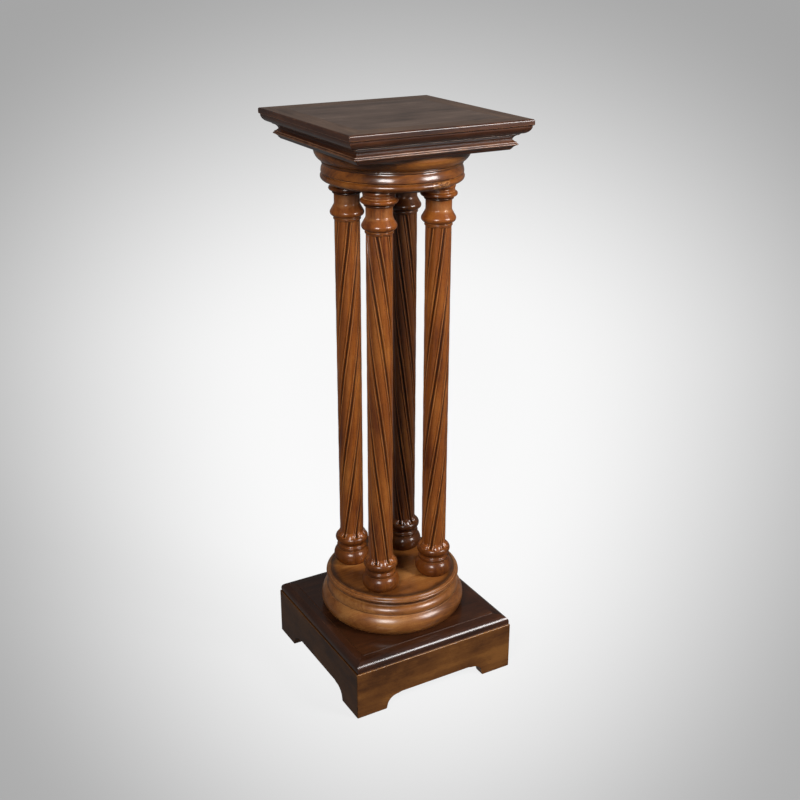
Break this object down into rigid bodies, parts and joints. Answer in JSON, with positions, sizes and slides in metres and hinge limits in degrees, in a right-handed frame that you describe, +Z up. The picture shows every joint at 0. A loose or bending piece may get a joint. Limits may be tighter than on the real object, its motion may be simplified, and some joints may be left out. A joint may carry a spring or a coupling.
{
  "type": "display plinth",
  "caption": "Tall wooden display plinth: square moulded top and collar on spiral-fluted columns, round drum and square bracket-foot base.",
  "frame": {"origin": "centre of the square footprint, on the floor", "axes": "+Z up; -Y is the front apron, +X is to its right"},
  "size_m": [0.334, 0.334, 1.04],
  "materials": {
    "turned_walnut": "french polished, glossy",
    "top_moulding_walnut": "french polished, glossy, rubbed arrises",
    "apron_walnut": "polished, satin",
    "base_top_walnut": "french polished, dark, glossy",
    "crossband_veneer": "waxed veneer, satin",
    "field_veneer": "waxed veneer, satin",
    "core_timber": "unpolished secondary timber",
    "screw_steel": "plain steel, dulled"
  },
  "bodies": {
    "root": {"apron_back": "apron_walnut", "apron_front": "apron_walnut", "apron_left": "apron_walnut", "apron_right": "apron_walnut", "base_moulding_back": "base_top_walnut", "base_moulding_front": "base_top_walnut", "base_moulding_left": "base_top_walnut", "base_moulding_right": "base_top_walnut", "base_panel": "base_top_walnut", "base_screws": "screw_steel", "block_screws": "screw_steel", "collar_lower": "turned_walnut", "collar_screws": "screw_steel", "collar_upper": "turned_walnut", "column_back_left": "turned_walnut", "column_back_right": "turned_walnut", "column_front_left": "turned_walnut", "column_front_right": "turned_walnut", "corner_block_back_left": "core_timber", "corner_block_back_right": "core_timber", "corner_block_front_left": "core_timber", "corner_block_front_right": "core_timber", "cornice_back": "top_moulding_walnut", "cornice_front": "top_moulding_walnut", "cornice_left": "top_moulding_walnut", "cornice_right": "top_moulding_walnut", "crossband_back": "crossband_veneer", "crossband_front": "crossband_veneer", "crossband_left": "crossband_veneer", "crossband_right": "crossband_veneer", "drum_lower": "turned_walnut", "drum_screws": "screw_steel", "drum_upper": "turned_walnut", "sub_top": "core_timber", "sub_top_screws": "screw_steel", "top_core": "core_timber", "top_field_veneer": "field_veneer", "top_moulding_back": "top_moulding_walnut", "top_moulding_front": "top_moulding_walnut", "top_moulding_left": "top_moulding_walnut", "top_moulding_right": "top_moulding_walnut", "top_screws": "screw_steel"}
  },
  "joints": []
}
